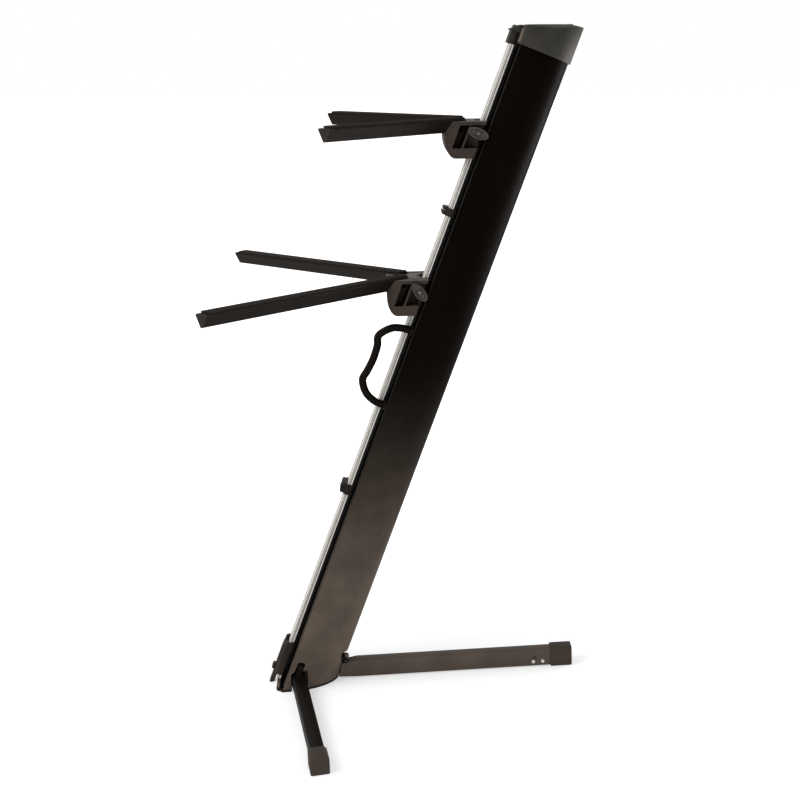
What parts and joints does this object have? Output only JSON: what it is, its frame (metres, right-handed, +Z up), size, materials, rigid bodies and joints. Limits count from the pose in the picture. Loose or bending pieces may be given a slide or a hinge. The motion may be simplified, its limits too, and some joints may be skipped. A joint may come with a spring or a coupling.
{
  "type": "keyboard stand",
  "caption": "Leaning column keyboard stand with tiers of splayed triangular arms on a front rail, folding square-tube legs, carry handle and foot latch.",
  "frame": {"origin": "middle of the boot's footprint on the floor, on the underside of the sole", "axes": "+Z up, -Y towards the player and the arms, +X to the player's right"},
  "size_m": [0.7486, 0.6493, 1.1975],
  "materials": {
    "column": "satin black anodised",
    "rail": "bare, finely grooved lengthwise",
    "cap": "dark grey moulded",
    "boot": "satin black",
    "sole": "matte black",
    "leg": "satin black",
    "casting": "black cast",
    "foot": "matte black",
    "steel": "bright",
    "dark_steel": "blackened",
    "bracket": "grey textured cast",
    "arm": "satin black",
    "strip": "matte black",
    "knob": "dark grey",
    "grip": "soft black sleeve",
    "plastic": "matte black"
  },
  "bodies": {
    "stand": {"column_extrusion": "column", "front_rail": "rail", "top_cap": "cap", "base_boot": "boot", "boot_sole": "sole", "right_leg_pin": "dark_steel", "left_leg_pin": "dark_steel", "rear_hinge_bracket": "casting", "rear_leg_pin": "dark_steel", "carry_handle": "grip", "handle_foot_top": "plastic", "handle_foot_bottom": "plastic", "latch_housing": "plastic", "latch_pin": "steel"},
    "right_leg": {"right_leg_hinge": "casting", "right_leg_tube": "leg", "right_foot_cap": "foot"},
    "left_leg": {"left_leg_hinge": "casting", "left_leg_tube": "leg", "left_foot_cap": "foot"},
    "rear_leg": {"rear_leg_hinge": "casting", "rear_leg_tube": "leg", "rear_foot_cap": "foot", "rear_leg_screw_outer": "steel", "rear_leg_screw_inner": "steel"},
    "latch": {"latch_lever": "plastic"},
    "upper_clip": {"upper_cable_clip": "plastic"},
    "lower_clip": {"lower_cable_clip": "plastic"},
    "lower_tier": {"lower_bracket": "bracket", "lower_left_arm": "arm", "lower_left_arm_strip": "strip", "lower_left_arm_plug": "foot", "lower_left_clamp_jaw": "casting", "lower_right_arm": "arm", "lower_right_arm_strip": "strip", "lower_right_arm_plug": "foot", "lower_right_clamp_jaw": "casting"},
    "lower_left_clamp": {"lower_left_knob": "knob", "lower_left_knob_screw": "steel"},
    "lower_right_clamp": {"lower_right_knob": "knob", "lower_right_knob_screw": "steel"},
    "upper_tier": {"upper_bracket": "bracket", "upper_left_arm": "arm", "upper_left_arm_strip": "strip", "upper_left_arm_plug": "foot", "upper_left_clamp_jaw": "casting", "upper_right_arm": "arm", "upper_right_arm_strip": "strip", "upper_right_arm_plug": "foot", "upper_right_clamp_jaw": "casting"},
    "upper_left_clamp": {"upper_left_knob": "knob", "upper_left_knob_screw": "steel"},
    "upper_right_clamp": {"upper_right_knob": "knob", "upper_right_knob_screw": "steel"}
  },
  "joints": [
    {"name": "right_leg_fold", "type": "hinge", "parent": "stand", "child": "right_leg", "pos_m": [0.046, -0.009, 0.044], "axis": [0.1426, -0.9212, 0.3621], "range_deg": [0, 84]},
    {"name": "left_leg_fold", "type": "hinge", "parent": "stand", "child": "left_leg", "pos_m": [-0.046, -0.009, 0.044], "axis": [0.1426, 0.9212, -0.3621], "range_deg": [0, 84]},
    {"name": "rear_leg_fold", "type": "hinge", "parent": "stand", "child": "rear_leg", "pos_m": [0, 0.0735, 0.036], "axis": [1, 0, 0], "range_deg": [0, 68]},
    {"name": "latch_press", "type": "hinge", "parent": "stand", "child": "latch", "pos_m": [0, -0.04142, 0.07757], "axis": [1, 0, 0], "range_deg": [-14, 0], "stiffness_Nm_per_rad": 0.3},
    {"name": "upper_clip_slide", "type": "slide", "parent": "stand", "child": "upper_clip", "axis": [0, 0.3659, 0.9307], "range_m": [-0.01, 0.01]},
    {"name": "lower_clip_slide", "type": "slide", "parent": "stand", "child": "lower_clip", "axis": [0, 0.3659, 0.9307], "range_m": [-0.15, 0.13]},
    {"name": "lower_left_knob_turn", "type": "hinge", "parent": "lower_tier", "child": "lower_left_clamp", "pos_m": [-0.0575, 0.22993, 0.7423], "axis": [-1, 0, 0], "range_deg": [-180, 180]},
    {"name": "lower_right_knob_turn", "type": "hinge", "parent": "lower_tier", "child": "lower_right_clamp", "pos_m": [0.0575, 0.22993, 0.7423], "axis": [1, 0, 0], "range_deg": [-180, 180]},
    {"name": "lower_tier_slide", "type": "slide", "parent": "stand", "child": "lower_tier", "axis": [0, 0.3659, 0.9307], "range_m": [-0.01, 0.095]},
    {"name": "upper_left_knob_turn", "type": "hinge", "parent": "upper_tier", "child": "upper_left_clamp", "pos_m": [-0.0575, 0.33725, 1.0153], "axis": [-1, 0, 0], "range_deg": [-180, 180]},
    {"name": "upper_right_knob_turn", "type": "hinge", "parent": "upper_tier", "child": "upper_right_clamp", "pos_m": [0.0575, 0.33725, 1.0153], "axis": [1, 0, 0], "range_deg": [-180, 180]},
    {"name": "upper_tier_slide", "type": "slide", "parent": "stand", "child": "upper_tier", "axis": [0, 0.3659, 0.9307], "range_m": [-0.07, 0.13]}
  ]
}
